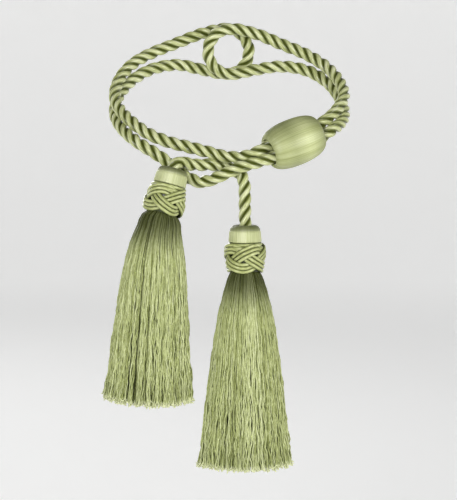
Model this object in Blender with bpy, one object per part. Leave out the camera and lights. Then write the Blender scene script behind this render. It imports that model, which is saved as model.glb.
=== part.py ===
"""Curtain tieback tassel: a ring of twisted rope whose two end loops hang on one hook, a bead
that draws the ring's two ropes together, and a shorter rope that runs through the front bend
of the ring and ends in a tassel at each side.

Metres, +Z up, +X right, +Y to the back. The origin is the hook's place, inside both end loops.
Sizes and routes below are in millimetres and are turned into metres as each mesh is made.
"""
import math

import bmesh
import bpy
from mathutils import Euler, Matrix, Vector

MM = 0.001
FIT = 0.3                        # gap between pieces that touch

# Rope: three strands in a right-handed twist
ROPE_RADIUS = 4.25
STRANDS = 3
LAY = 25.5                       # length of rope in which a strand goes once round
SECTION_STEP = 4.0               # distance between two sections of the mesh
STRAND_FACETS = (-32, 0, 32)     # degrees from the crown of a strand

# End loops of the ring, round the hook
LOOP_RADIUS = 16.0
LOOP_SHIFT = 1.5                 # each loop's middle lies this far to its own side of the hook
LEFT_LOOP_DEPTH = -4.5
RIGHT_LOOP_DEPTH = -13.5
LOOP_POINTS = 7

# Bead
BEAD_LENGTH = 38.5
BEAD_RADIUS = 15.9
BEAD_RIM_RADIUS = 10.0
BEAD_HOLE_RADIUS = 9.2
BEAD_MIDDLE = Vector((44.4, -95.0, -60.6))
BEAD_AXIS = Vector((34.6, 15.0, 13.4)).normalized()
BEAD_SEGMENTS = 32
BEAD_BULGE_STEPS = 10
BEAD_FULLNESS = 2.2              # 2 is a round bulge, more is a straighter barrel
PAIR_SPACING = 8.8               # between the middles of the two ropes in the bead
PAIR_ROLL = math.radians(35)     # the upper rope lies this far round to the back
JOIN_GAP = 0.6                   # between the ring's two ends, inside the bead

# Tassel head: a cap, a woven knot under it, and the neck of the skirt through the knot
CAP_RADIUS = 10.7
CAP_WAIST = 10.3
CAP_HEIGHT = 11.5
CAP_SHOULDER = 3.0
CAP_SOCKET_RADIUS = 4.7
CAP_SOCKET_DEPTH = 6.0
CAP_MOUTH_ROUND = 1.2
ROPE_END_GAP = 0.4               # between the rope's end and the socket's floor
CAP_WAIST_DEPTH = 6.9
CAP_SEGMENTS = 24
KNOT_HEIGHT = 20.5
KNOT_BARREL_RADIUS = 12.0
KNOT_END_RADIUS = 9.4
KNOT_LEADS = 3                   # times the band goes round
KNOT_BIGHTS = 4                  # scallops at each edge
KNOT_BAND_HALF_WIDTH = 3.3
KNOT_RELIEF = 1.5
KNOT_WEAVE = 0.75                # rise and fall of the band where it passes over and under
KNOT_STEPS_AROUND = 60
KNOT_STEPS_DOWN = 14
NECK_RADIUS = 7.5
BACKING_TOP_RADIUS = 8.8
BACKING_RADIUS = 10.9
BACKING_THICKNESS = 2.2
NECK_SEGMENTS = 24

# Skirt strands in three rings: share of the skirt's half width, number of strands
STRAND_RINGS = ((0.94, 40), (0.62, 24), (0.30, 10))
STRAND_FILL = 0.42               # half of a strand's outer width, as a share of its spacing
STRAND_INNER_FILL = 0.28         # the same for its inner side
STRAND_ROOT_DEPTH = 1.2          # how deep the roots sit in the backing
STRAND_ROOT_RADIUS = 10.3        # the outer ring's roots at a share of 1
STRAND_HALF_THICKNESS = (0.65, 1.0, 1.35, 1.7)   # at the root and at each row, at most
EVEN_SPACING = 0.137             # evens the spacing round a skirt that is wider than deep
TIP_UNEVENNESS = 1.2
TIP_PATTERN = 17                 # how often the tips rise and fall round the skirt

COLOURS = {                      # sRGB, roughness
    "rope": ((0.70, 0.74, 0.46), 0.45),
    "bead": ((0.70, 0.75, 0.43), 0.35),
    "cap": ((0.74, 0.79, 0.50), 0.35),
    "knot": ((0.71, 0.76, 0.46), 0.42),
    "skirt": ((0.62, 0.68, 0.36), 0.50),
}

# The ring's route, x, y, z. It starts in the bead's upper channel and ends there.
RING_FRONT_UPPER = (
    (18.6, -102.6, -67.2), (12.0, -101.8, -69.5), (4.5, -99.3, -70.5), (-4.0, -97.5, -69.8),
    (-12.5, -96.8, -67.4), (-26.0, -95.5, -64.0), (-42.0, -92.5, -60.0), (-55.8, -86.5, -54.4),
    (-67.6, -77.0, -46.2), (-75.5, -65.0, -38.4), (-79.0, -51.0, -29.8), (-76.5, -37.0, -19.2),
    (-68.0, -24.0, -9.0), (-54.0, -13.5, -1.0), (-36.0, -7.5, 6.2), (-19.0, -5.0, 12.6),
)
RING_FRONT_LOWER = (
    (-19.0, -5.0, -13.0), (-36.0, -7.5, -9.6), (-54.0, -13.5, -12.4), (-68.0, -24.0, -20.4),
    (-76.5, -37.0, -30.4), (-79.0, -51.0, -40.6), (-76.0, -65.0, -48.9), (-69.0, -77.4, -56.0),
    (-60.6, -86.0, -62.0), (-51.0, -91.0, -67.6), (-41.0, -92.5, -74.6), (-33.0, -93.0, -81.0),
    (-26.0, -94.5, -85.4), (-19.0, -97.2, -87.4), (-10.2, -101.0, -85.2), (-1.1, -104.2, -80.8),
    (7.8, -105.6, -76.9), (16.5, -106.3, -74.4),
)
RING_RIGHT_LOWER = (
    (71.0, -84.5, -53.0), (77.2, -72.0, -48.6), (80.2, -56.0, -41.6), (77.5, -41.0, -31.5),
    (69.0, -27.5, -21.1), (55.0, -18.0, -13.2), (37.0, -14.2, -10.6), (19.0, -13.5, -13.0),
)
RING_RIGHT_UPPER = (
    (19.0, -13.5, 12.6), (37.0, -14.2, 5.4), (55.0, -18.0, -2.0), (69.0, -27.5, -10.7),
    (77.5, -41.0, -20.4), (80.2, -55.0, -30.0), (76.0, -67.5, -37.2), (69.2, -78.5, -43.4),
)

# The tassel rope's route: it rises from the left cap, lies over the lower rope, passes behind
# the crossing of the ring's ropes and hangs down to the right cap.
TASSEL_ROPE = (
    (-36.0, -107.2, -75.0), (-33.4, -105.4, -73.5), (-29.8, -102.8, -74.1), (-25.5, -99.8, -75.4),
    (-19.5, -96.5, -75.9), (-13.0, -94.8, -75.8), (-8.0, -93.8, -76.3), (-3.0, -93.3, -77.6),
    (2.0, -93.2, -79.1), (6.6, -93.9, -81.1), (9.8, -95.4, -84.9), (11.0, -97.8, -90.6),
    (11.2, -100.7, -98.5), (11.2, -103.2, -107.5), (11.2, -104.3, -112.5),
)

# Each tassel: place of the cap's top, lean to the right and to the back in degrees, turn of the
# knot, and the skirt's rows: drop, shift to the right, shift to the back, half width, half depth
TASSELS = {
    "left": {
        "top": (-37.0, -108.0, -77.6), "lean": 15.0, "nod": 8.0, "knot_turn": 100.0,
        "rows": (
            (8.0, -1.6, 0.0, 15.4, 13.0),
            (30.0, -4.0, 0.0, 21.0, 15.2),
            (127.5, -8.8, -3.5, 30.6, 20.0),
        ),
    },
    "right": {
        "top": (11.2, -104.5, -116.3), "lean": 0.0, "nod": 0.0, "knot_turn": 18.0,
        "rows": (
            (8.0, 0.2, 0.0, 14.6, 12.8),
            (30.0, 0.2, -0.8, 20.4, 15.0),
            (132.0, -0.4, -5.5, 33.4, 20.0),
        ),
    },
}


def clear_scene():
    for thing in list(bpy.data.objects):
        bpy.data.objects.remove(thing, do_unlink=True)


def to_linear(colour):
    return [c / 12.92 if c <= 0.04045 else ((c + 0.055) / 1.055) ** 2.4 for c in colour]


def thread_material(name, finish):
    """A dyed satin thread of the given finish."""
    colour, roughness = COLOURS[finish]
    material = bpy.data.materials.new(name)
    material.use_nodes = True
    shader = material.node_tree.nodes["Principled BSDF"]
    shader.inputs["Base Color"].default_value = (*to_linear(colour), 1.0)
    shader.inputs["Roughness"].default_value = roughness
    shader.inputs["Metallic"].default_value = 0.0
    return material


def add_object(name, mesh_builder, finish, parent=None):
    """Turns a mesh in millimetres into one named, smooth-shaded object in metres."""
    bmesh.ops.scale(mesh_builder, vec=(MM, MM, MM), verts=mesh_builder.verts)
    mesh = bpy.data.meshes.new(name)
    mesh_builder.to_mesh(mesh)
    mesh_builder.free()
    mesh.shade_smooth()
    mesh.set_sharp_from_angle(angle=math.radians(40))
    mesh.materials.append(thread_material(name, finish))
    thing = bpy.data.objects.new(name, mesh)
    thing.parent = parent
    bpy.context.scene.collection.objects.link(thing)
    return thing


def smooth_line(points, samples=16):
    """A smooth line through every point of a route: a centripetal Catmull-Rom curve."""
    padded = [2 * points[0] - points[1], *points, 2 * points[-1] - points[-2]]
    line = []
    for a, b, c, d in zip(padded, padded[1:], padded[2:], padded[3:]):
        t1 = (b - a).length ** 0.5
        t2 = t1 + (c - b).length ** 0.5
        t3 = t2 + (d - c).length ** 0.5
        for i in range(samples):
            t = t1 + (t2 - t1) * i / samples
            before = a.lerp(b, t / t1)
            middle = b.lerp(c, (t - t1) / (t2 - t1))
            after = c.lerp(d, (t - t2) / (t3 - t2))
            near = before.lerp(middle, t / t2)
            far = middle.lerp(after, (t - t1) / (t3 - t1))
            line.append(near.lerp(far, (t - t1) / (t2 - t1)))
    line.append(points[-1].copy())
    return line


def even_steps(line, step):
    """Points at equal distances along a line, close to the given step apart."""
    travelled = [0.0]
    for a, b in zip(line, line[1:]):
        travelled.append(travelled[-1] + (b - a).length)
    count = round(travelled[-1] / step)
    points = []
    span = 0
    for i in range(count + 1):
        want = travelled[-1] * i / count
        while span < len(line) - 2 and travelled[span + 1] < want:
            span += 1
        share = (want - travelled[span]) / (travelled[span + 1] - travelled[span])
        points.append(line[span].lerp(line[span + 1], share))
    return points


def strand_radius(angle):
    """Distance from the rope's middle to its surface, at an angle from a strand's crown."""
    strand = ROPE_RADIUS / (1 + 1 / math.sin(math.pi / STRANDS))
    offset = ROPE_RADIUS - strand
    return offset * math.cos(angle) + math.sqrt(strand ** 2 - (offset * math.sin(angle)) ** 2)


def rope_section():
    """Angle and radius of each point round the rope's three-lobed section."""
    section = []
    for strand in range(STRANDS):
        for degrees in STRAND_FACETS:
            angle = math.radians(degrees)
            section.append((angle + strand * math.tau / STRANDS, strand_radius(angle)))
    return section


def close_rings(builder, rings, twisted=False):
    """Joins each ring of points to the next, in twisted stretches with the short diagonals."""
    for ring, following in zip(rings, rings[1:]):
        for i in range(len(ring)):
            j = (i + 1) % len(ring)
            if twisted:
                builder.faces.new((ring[i], ring[j], following[i]))
                builder.faces.new((ring[j], following[j], following[i]))
            else:
                builder.faces.new((ring[i], ring[j], following[j], following[i]))


def make_rope(name, route):
    """Sweeps the three-lobed section along a route and turns it once in every lay."""
    builder = bmesh.new()
    line = even_steps(smooth_line([Vector(point) for point in route]), SECTION_STEP)
    section = rope_section()
    side = Vector((0, 0, 1))
    rings = []
    travelled = 0.0
    for i, middle in enumerate(line):
        before, after = line[max(i - 1, 0)], line[min(i + 1, len(line) - 1)]
        along = (after - before).normalized()
        travelled += (middle - before).length
        side = (side - along * side.dot(along)).normalized()
        across = along.cross(side)
        twist = math.tau * travelled / LAY
        ring = []
        for angle, radius in section:
            out = side * math.cos(twist + angle) + across * math.sin(twist + angle)
            ring.append(builder.verts.new(middle + radius * out))
        rings.append(ring)
    close_rings(builder, rings, twisted=True)
    builder.faces.new(rings[0][::-1])
    builder.faces.new(rings[-1])
    return add_object(name, builder, "rope")


def end_loop(middle_x, depth, first_height):
    """Points of a half circle round the hook, from the side of first_height to the other."""
    points = []
    towards = 1 if middle_x < 0 else -1
    for i in range(LOOP_POINTS):
        angle = math.pi * i / (LOOP_POINTS - 1)
        x = middle_x + towards * LOOP_RADIUS * math.sin(angle)
        points.append((x, depth, first_height * math.cos(angle)))
    return points


def bead_channel(along, upper):
    """A point on the middle of the upper or lower rope in the bead, at a distance along it."""
    up = (Vector((0, 0, 1)) - BEAD_AXIS * BEAD_AXIS.z).normalized()
    back = up.cross(BEAD_AXIS)
    offset = PAIR_SPACING / 2 * (up * math.cos(PAIR_ROLL) + back * math.sin(PAIR_ROLL))
    return BEAD_MIDDLE + BEAD_AXIS * along + (offset if upper else -offset)


def ring_route():
    half = BEAD_LENGTH / 2
    return [
        bead_channel(-JOIN_GAP / 2, True), bead_channel(-half, True), *RING_FRONT_UPPER,
        *end_loop(-LOOP_SHIFT, LEFT_LOOP_DEPTH, LOOP_RADIUS), *RING_FRONT_LOWER,
        bead_channel(-half, False), bead_channel(0, False), bead_channel(half, False),
        *RING_RIGHT_LOWER, *end_loop(LOOP_SHIFT, RIGHT_LOOP_DEPTH, -LOOP_RADIUS),
        *RING_RIGHT_UPPER, bead_channel(half, True), bead_channel(JOIN_GAP / 2, True),
    ]


def head_frame(tassel):
    """The place of a tassel's head: its cap's top, with the head's axis down -Z."""
    lean = Euler((-math.radians(tassel["nod"]), math.radians(tassel["lean"]), 0)).to_matrix()
    return Matrix.Translation(Vector(tassel["top"])) @ lean.to_4x4()


def tassel_rope_route():
    """The tassel rope from the floor of one cap's socket to the floor of the other's."""
    left, right = (head_frame(TASSELS[side]) for side in ("left", "right"))
    floor = Vector((0, 0, -(CAP_SOCKET_DEPTH - ROPE_END_GAP)))
    mouth = Vector((0, 0, 0))
    return [left @ floor, left @ mouth, *TASSEL_ROPE, right @ mouth, right @ floor]


def turned(profile, segments):
    """Spins a profile of (radius, height) points once round the Z axis."""
    builder = bmesh.new()
    points = [builder.verts.new((radius, 0, height)) for radius, height in profile]
    edges = [builder.edges.new(pair) for pair in zip(points, points[1:])]
    if profile[0][0] > 0:
        edges.append(builder.edges.new((points[-1], points[0])))
    bmesh.ops.spin(
        builder, geom=points + edges, cent=(0, 0, 0), axis=(0, 0, 1), angle=math.tau,
        steps=segments, use_merge=True,
    )
    bmesh.ops.remove_doubles(builder, verts=builder.verts, dist=1e-4)
    bmesh.ops.recalc_face_normals(builder, faces=builder.faces)
    return builder


def bead_profile():
    half = BEAD_LENGTH / 2
    profile = [(BEAD_HOLE_RADIUS, -half), (BEAD_HOLE_RADIUS, half)]
    for i in range(BEAD_BULGE_STEPS + 1):
        share = math.cos(math.pi * i / BEAD_BULGE_STEPS)
        swell = math.sqrt(1 - abs(share) ** BEAD_FULLNESS)
        profile.append((BEAD_RIM_RADIUS + (BEAD_RADIUS - BEAD_RIM_RADIUS) * swell, half * share))
    return profile


def make_bead():
    """A hollow barrel, wide enough inside for the two ropes side by side."""
    bead = add_object("bead", turned(bead_profile(), BEAD_SEGMENTS), "bead")
    bead.rotation_euler = BEAD_AXIS.to_track_quat("Z", "Y").to_euler()
    bead.location = BEAD_MIDDLE * MM
    return bead


def make_cap(side, parent):
    """The cap, with a socket in its rounded top for the end of the rope."""
    profile = [
        (0, -CAP_SOCKET_DEPTH), (CAP_SOCKET_RADIUS, -CAP_SOCKET_DEPTH),
        (CAP_SOCKET_RADIUS, -CAP_MOUTH_ROUND), (CAP_SOCKET_RADIUS + CAP_MOUTH_ROUND, 0),
    ]
    for i in range(4):
        angle = math.pi / 2 * i / 3
        profile.append((
            CAP_RADIUS - CAP_SHOULDER * (1 - math.sin(angle)),
            -CAP_SHOULDER * (1 - math.cos(angle)),
        ))
    profile += [(CAP_WAIST, -CAP_WAIST_DEPTH), (CAP_RADIUS, -CAP_HEIGHT), (0, -CAP_HEIGHT)]
    return add_object(f"cap_{side}", turned(profile, CAP_SEGMENTS), "cap", parent)


def knot_radius(angle, height):
    """Distance from the knot's axis to its woven surface; height is from the knot's middle."""
    half = KNOT_HEIGHT / 2
    barrel = KNOT_END_RADIUS + (KNOT_BARREL_RADIUS - KNOT_END_RADIUS) * (1 - (height / half) ** 4)
    swing = half - KNOT_BAND_HALF_WIDTH
    relief = 0.0
    for lead in range(KNOT_LEADS):
        phase = KNOT_BIGHTS * (angle + math.tau * lead) / KNOT_LEADS
        slope = -swing * math.sin(phase) * KNOT_BIGHTS / KNOT_LEADS / KNOT_BARREL_RADIUS
        off_band = abs(height - swing * math.cos(phase)) / math.hypot(1, slope)
        if off_band < KNOT_BAND_HALF_WIDTH:
            crown = 1 - (off_band / KNOT_BAND_HALF_WIDTH) ** 2
            relief = max(relief, crown * (KNOT_RELIEF + KNOT_WEAVE * math.sin(2 * phase)))
    return barrel + relief


def make_knot(side, parent, turn):
    """The woven knot round the neck: a band that goes round three times, over and under itself."""
    builder = bmesh.new()
    top = -(CAP_HEIGHT + FIT)
    inner = NECK_RADIUS + FIT
    rows = [(top - KNOT_HEIGHT * i / KNOT_STEPS_DOWN, False) for i in range(KNOT_STEPS_DOWN + 1)]
    rows += [(top - KNOT_HEIGHT, True), (top, True)]
    rings = []
    for height, is_inner in rows:
        ring = []
        for i in range(KNOT_STEPS_AROUND):
            angle = -math.tau * i / KNOT_STEPS_AROUND
            pattern = angle + math.radians(turn)
            radius = inner if is_inner else knot_radius(pattern, height - top + KNOT_HEIGHT / 2)
            ring.append(builder.verts.new((radius * math.cos(angle), radius * math.sin(angle), height)))
        rings.append(ring)
    close_rings(builder, rings + rings[:1])
    bmesh.ops.recalc_face_normals(builder, faces=builder.faces)
    return add_object(f"knot_{side}", builder, "knot", parent)


def skirt_backing():
    """The neck that fills the knot, and the flare under it that the strands hang from."""
    neck_top = -(CAP_HEIGHT + FIT)
    flare_top = neck_top - KNOT_HEIGHT - FIT
    flare_foot = flare_top - BACKING_THICKNESS
    profile = [
        (0, neck_top), (NECK_RADIUS, neck_top), (NECK_RADIUS, flare_top),
        (BACKING_TOP_RADIUS, flare_top), (BACKING_RADIUS, flare_foot), (0, flare_foot),
    ]
    return turned(profile, NECK_SEGMENTS)


def add_strands(builder, head, rows):
    """Four-sided strands that start in the backing and spread down through the skirt's rows."""
    root_height = -(CAP_HEIGHT + KNOT_HEIGHT + 2 * FIT + BACKING_THICKNESS - STRAND_ROOT_DEPTH)
    root = Vector((0, 0, root_height))
    upright = head.to_3x3().inverted()

    def place(row, share, turn):
        """A point of the skirt at a share of its half width, and the outward direction there."""
        angle = turn + EVEN_SPACING * math.sin(2 * turn)
        if row < 0:
            out = Vector((math.cos(turn), math.sin(turn), 0))
            return root + out * share * STRAND_ROOT_RADIUS, out
        drop, shift_x, shift_y, half_width, half_depth = rows[row]
        spread = Vector((half_width * math.cos(angle), half_depth * math.sin(angle), 0))
        drop += TIP_UNEVENNESS * math.sin(TIP_PATTERN * turn + 5 * share) * (row == len(rows) - 1)
        centre = Vector((shift_x, shift_y, -drop))
        out = Vector((half_depth * math.cos(angle), half_width * math.sin(angle), 0)).normalized()
        return root + upright @ (centre + spread * share), upright @ out

    for ring_number, (share, count) in enumerate(STRAND_RINGS):
        for strand in range(count):
            turn = math.tau * (strand + ring_number / 2) / count
            half_step = math.pi / count
            rings = []
            for row, half_thickness in enumerate(STRAND_HALF_THICKNESS, start=-1):
                middle, out = place(row, share, turn)
                ahead = place(row, share, turn + half_step)[0]
                spacing = ahead - place(row, share, turn - half_step)[0]
                outer, inner = spacing * STRAND_FILL, spacing * STRAND_INNER_FILL
                thick = out * min(half_thickness, spacing.length * STRAND_FILL)
                corners = (-inner - thick, inner - thick, outer + thick, -outer + thick)
                rings.append([builder.verts.new(middle + corner) for corner in corners])
            close_rings(builder, rings)
            builder.faces.new(rings[0][::-1])
            builder.faces.new(rings[-1])


def make_skirt(side, parent, tassel):
    """The skirt: its strands stand apart and share one backing with a neck."""
    strands = bmesh.new()
    add_strands(strands, head_frame(tassel), tassel["rows"])
    bmesh.ops.recalc_face_normals(strands, faces=strands.faces)
    helper = add_object(f"strands_{side}", strands, "skirt", parent)
    helper.hide_render = True
    helper.display_type = "WIRE"
    skirt = add_object(f"skirt_{side}", skirt_backing(), "skirt", parent)
    union = skirt.modifiers.new("strands", "BOOLEAN")
    union.operation = "UNION"
    union.solver = "EXACT"
    union.object = helper
    return skirt


def make_tassel(side):
    """A tassel on its own empty: everything of the head leans with it."""
    tassel = TASSELS[side]
    frame = bpy.data.objects.new(f"tassel_{side}", None)
    bpy.context.scene.collection.objects.link(frame)
    head = head_frame(tassel)
    frame.location = head.translation * MM
    frame.rotation_euler = head.to_euler()
    make_cap(side, frame)
    make_knot(side, frame, tassel["knot_turn"])
    make_skirt(side, frame, tassel)


clear_scene()
make_rope("ring_rope", ring_route())
make_rope("tassel_rope", tassel_rope_route())
make_bead()
for tassel_side in TASSELS:
    make_tassel(tassel_side)
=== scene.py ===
"""A curtain tieback in the shape it hangs in: a ring of twisted rope drawn together by a bead,
and a shorter rope that runs through the front bend of the ring and ends in two tassels.

The sections follow the making: the ring, the bead, the tassel rope, then for both tassels the
caps, the knots and the skirts, and last the studio. Sizes are in millimetres, apart from those
multiplied by MM and the studio's, which are in metres.
"""
import math

import bpy
import numpy as np
from mathutils import Euler, Matrix, Vector


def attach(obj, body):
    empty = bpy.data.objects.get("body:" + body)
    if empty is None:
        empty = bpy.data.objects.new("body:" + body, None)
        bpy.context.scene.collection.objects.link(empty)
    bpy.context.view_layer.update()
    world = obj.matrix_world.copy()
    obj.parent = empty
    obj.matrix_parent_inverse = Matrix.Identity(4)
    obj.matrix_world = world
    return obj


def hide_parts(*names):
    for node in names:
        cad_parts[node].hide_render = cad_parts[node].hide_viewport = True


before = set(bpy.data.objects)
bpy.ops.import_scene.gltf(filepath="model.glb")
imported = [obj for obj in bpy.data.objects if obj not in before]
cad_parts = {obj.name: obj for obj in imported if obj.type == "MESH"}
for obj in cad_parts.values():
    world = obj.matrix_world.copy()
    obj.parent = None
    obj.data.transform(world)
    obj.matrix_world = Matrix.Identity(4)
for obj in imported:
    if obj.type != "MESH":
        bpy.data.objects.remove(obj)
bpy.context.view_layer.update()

# --- The ring --------------------------------------------------------------------------------
# One closed rope of three strands of satin yarn, laid right-handed. Its two ends are joined
# inside the bead, and both its end loops hang on the hook.

MM = 0.001
ROPE_RADIUS = 4.25 * MM
STRANDS = 3
STRAND_RADIUS = ROPE_RADIUS / (1 + 1 / math.sin(math.pi / STRANDS))
LAY = 25.5 * MM                  # length of rope in which a strand goes once round
STRAND_PLUMPNESS = 1.09          # strands press a little into one another
STRAND_SWELL = 0.02              # a strand is now thicker and now thinner by this share,
SWELL_LENGTH = 7.3 * MM          # over this length to a radian,
SWELL_PHASE = 2.1                # and the next strand so many radians later
YARNS = 13                       # seen side by side round one strand
YARN_RELIEF = 0.11               # as a share of the strand's radius
YARN_TWIST = 55 * MM             # length of strand in which its yarns go once round
YARN_GROOVE_SHADE = 0.28               # how deep the painted shade is between two yarns
YARNS_APART = 17                 # from the yarn numbers of one strand to those of the next
ROPE_STEP = 1.35 * MM
ROPE_CROWN = 0.30                # how far down its sides a strand is free of painted shade
CROWN_FULLNESS = 1.3             # above 1, the painted shade deepens slowly at first

# The ring's route in millimetres, x, y, z, from the bead round to the bead
BEAD_MIDDLE = Vector((44.4, -95.0, -60.6))
BEAD_AXIS = Vector((34.6, 15.0, 13.4)).normalized()
BEAD_LENGTH = 38.5
PAIR_SPACING = 8.8               # of the two ropes in the bead, middle to middle
PAIR_ROLL = math.radians(35)     # the upper one lies so far to the back
JOIN_GAP = 0.6                   # between the two ends of the ring
LOOP_RADIUS = 16.0
LOOP_SHIFT = 1.5                 # of each loop's middle, to its own side
LOOP_DEPTHS = (-4.5, -13.5)      # the left side's loop hangs behind the right side's
LOOP_POINTS = 7
RING_FRONT_UPPER = (
    (18.6, -102.6, -67.2), (12.0, -101.8, -69.5), (4.5, -99.3, -70.5), (-4.0, -97.5, -69.8),
    (-12.5, -96.8, -67.4), (-26.0, -95.5, -64.0), (-42.0, -92.5, -60.0), (-55.8, -86.5, -54.4),
    (-67.6, -77.0, -46.2), (-75.5, -65.0, -38.4), (-79.0, -51.0, -29.8), (-76.5, -37.0, -19.2),
    (-68.0, -24.0, -9.0), (-54.0, -13.5, -1.0), (-36.0, -7.5, 6.2), (-19.0, -5.0, 12.6),
)
RING_FRONT_LOWER = (
    (-19.0, -5.0, -13.0), (-36.0, -7.5, -9.6), (-54.0, -13.5, -12.4), (-68.0, -24.0, -20.4),
    (-76.5, -37.0, -30.4), (-79.0, -51.0, -40.6), (-76.0, -65.0, -48.9), (-69.0, -77.4, -56.0),
    (-60.6, -86.0, -62.0), (-51.0, -91.0, -67.6), (-41.0, -92.5, -74.6), (-33.0, -93.0, -81.0),
    (-26.0, -94.5, -85.4), (-19.0, -97.2, -87.4), (-10.2, -101.0, -85.2), (-1.1, -104.2, -80.8),
    (7.8, -105.6, -76.9), (16.5, -106.3, -74.4),
)
RING_RIGHT_LOWER = (
    (70.7, -84.8, -52.6), (77.1, -72.1, -48.4), (80.2, -56.0, -41.6), (77.5, -41.0, -31.5),
    (69.0, -27.5, -21.1), (55.0, -18.0, -13.2), (37.0, -14.2, -10.6), (19.0, -13.5, -13.0),
)
RING_RIGHT_UPPER = (
    (19.0, -13.5, 12.6), (37.0, -14.2, 5.4), (55.0, -18.0, -2.0), (69.0, -27.5, -10.7),
    (77.5, -41.0, -20.4), (80.2, -55.0, -30.0), (76.1, -67.3, -37.6), (69.5, -78.0, -44.1),
)


def end_loop(middle_x, depth, first_height):
    """Points of a half circle round the hook, from the side of first_height to the other."""
    towards = 1 if middle_x < 0 else -1
    angles = [math.pi * i / (LOOP_POINTS - 1) for i in range(LOOP_POINTS)]
    return [
        (middle_x + towards * LOOP_RADIUS * math.sin(a), depth, first_height * math.cos(a))
        for a in angles
    ]


def bead_channel(along, upper):
    """A point on the middle of the upper or lower rope in the bead."""
    up = (Vector((0, 0, 1)) - BEAD_AXIS * BEAD_AXIS.z).normalized()
    back = up.cross(BEAD_AXIS)
    offset = PAIR_SPACING / 2 * (up * math.cos(PAIR_ROLL) + back * math.sin(PAIR_ROLL))
    return BEAD_MIDDLE + BEAD_AXIS * along + (offset if upper else -offset)


def smooth_line(points, samples=16):
    """A smooth line through every point of a route: a centripetal Catmull-Rom curve."""
    points = [Vector(point) for point in points]
    padded = [2 * points[0] - points[1], *points, 2 * points[-1] - points[-2]]
    line = []
    for a, b, c, d in zip(padded, padded[1:], padded[2:], padded[3:]):
        t1 = (b - a).length ** 0.5
        t2 = t1 + (c - b).length ** 0.5
        t3 = t2 + (d - c).length ** 0.5
        for i in range(samples):
            t = t1 + (t2 - t1) * i / samples
            before = a.lerp(b, t / t1)
            middle = b.lerp(c, (t - t1) / (t2 - t1))
            after = c.lerp(d, (t - t2) / (t3 - t2))
            near = before.lerp(middle, t / t2)
            far = middle.lerp(after, (t - t1) / (t3 - t1))
            line.append(near.lerp(far, (t - t1) / (t2 - t1)))
    line.append(points[-1])
    return np.array(line)


def distances(line):
    """How far along a line each of its points lies."""
    return np.append(0, np.cumsum(np.linalg.norm(np.diff(line, axis=0), axis=1)))


def even_steps(line, step):
    """Points at equal distances along a line, close to the given step apart."""
    travelled = distances(line)
    places = np.linspace(0, travelled[-1], round(travelled[-1] / step) + 1)
    return np.stack([np.interp(places, travelled, line[:, axis]) for axis in range(3)], axis=1)


def unit(vectors):
    return vectors / np.linalg.norm(vectors, axis=-1, keepdims=True)


def carried_sides(line):
    """Two directions across a line, carried along it without turning about it."""
    along = unit(np.gradient(line, axis=0))
    side = np.array((0.0, 0.0, 1.0))
    sides = np.empty_like(line)
    for i, direction in enumerate(along):
        side = side - direction * side.dot(direction)
        side /= np.linalg.norm(side)
        sides[i] = side
    return sides, np.cross(along, sides)


def tube_faces(rings, sides, closed_ends=True):
    """Faces of a tube whose points are numbered ring by ring."""
    i, j = np.meshgrid(np.arange(rings - 1), np.arange(sides), indexing="ij")
    k = (j + 1) % sides
    faces = np.stack([i * sides + j, i * sides + k, (i + 1) * sides + k, (i + 1) * sides + j], -1)
    faces = faces.reshape(-1, 4).tolist()
    if closed_ends:
        faces.append(list(range(sides))[::-1])
        faces.append([(rings - 1) * sides + n for n in range(sides)])
    return faces


def joined(shapes):
    """Several shapes as one. Each is given as its points, its faces and its points' numbers."""
    points, faces, numbers = [], [], {}
    for shape_points, shape_faces, shape_numbers in shapes:
        first = sum(len(some) for some in points)
        faces += [[first + n for n in face] for face in shape_faces]
        points.append(shape_points)
        for label, values in shape_numbers.items():
            numbers.setdefault(label, []).append(values)
    numbers = {label: np.concatenate(values) for label, values in numbers.items()}
    return np.concatenate(points), faces, numbers


def make_piece(name, material, points, faces, numbers):
    """One smooth-shaded object that carries a number for each point under each label."""
    mesh = bpy.data.meshes.new(name)
    mesh.from_pydata(points.tolist(), [], faces)
    for label, values in numbers.items():
        mesh.attributes.new(label, "FLOAT", "POINT").data.foreach_set("value", values)
    mesh.shade_smooth()
    mesh.materials.append(material)
    piece = bpy.data.objects.new(name, mesh)
    bpy.context.scene.collection.objects.link(piece)
    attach(piece, "root")
    return piece


def groove_shade(turn, crown):
    """Painted shade: 0 on a strand's crown, 1 down between strands, at an angle off the crown."""
    return ((0.5 - 0.5 * np.cos(turn)) / crown).clip(0, 1) ** CROWN_FULLNESS


def lay_rope(name, route, material):
    """Three strands round a route, each with its yarns in relief. Gives the piece and its line."""
    line = even_steps(smooth_line(route) * MM, ROPE_STEP)
    side, across = carried_sides(line)
    travelled = distances(line)
    corners = 2 * YARNS
    between_yarns = np.arange(corners) % 2
    strands = []
    for strand in range(STRANDS):
        twist = (math.tau * (travelled / LAY + strand / STRANDS))[:, None]
        out = side * np.cos(twist) + across * np.sin(twist)
        core = line + out * (ROPE_RADIUS - STRAND_RADIUS)
        lateral = unit(np.cross(unit(np.gradient(core, axis=0)), out))
        yarn_twist = math.tau * travelled[:, None] / YARN_TWIST
        turn = np.arange(corners) / corners * math.tau - yarn_twist
        outward = (out[:, None] * np.cos(turn)[..., None]
                   + lateral[:, None] * np.sin(turn)[..., None])
        swell = 1 + STRAND_SWELL * np.sin(travelled[:, None] / SWELL_LENGTH + strand * SWELL_PHASE)
        radius = STRAND_RADIUS * STRAND_PLUMPNESS * swell * (1 - YARN_RELIEF * between_yarns)
        points = (core[:, None] + outward * radius[..., None]).reshape(-1, 3)
        # Painted shade down the strands' sides and between the yarns
        painted_shade = np.maximum(groove_shade(turn, ROPE_CROWN), YARN_GROOVE_SHADE * between_yarns)
        strands.append((points, tube_faces(len(line), corners), {
            "painted_shade": painted_shade.ravel(),
            "run": np.repeat(travelled, corners),
            "yarn": np.tile(np.arange(corners) / 2 + strand * YARNS_APART, len(line)),
        }))
    return make_piece(name, material, *joined(strands)), line


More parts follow.
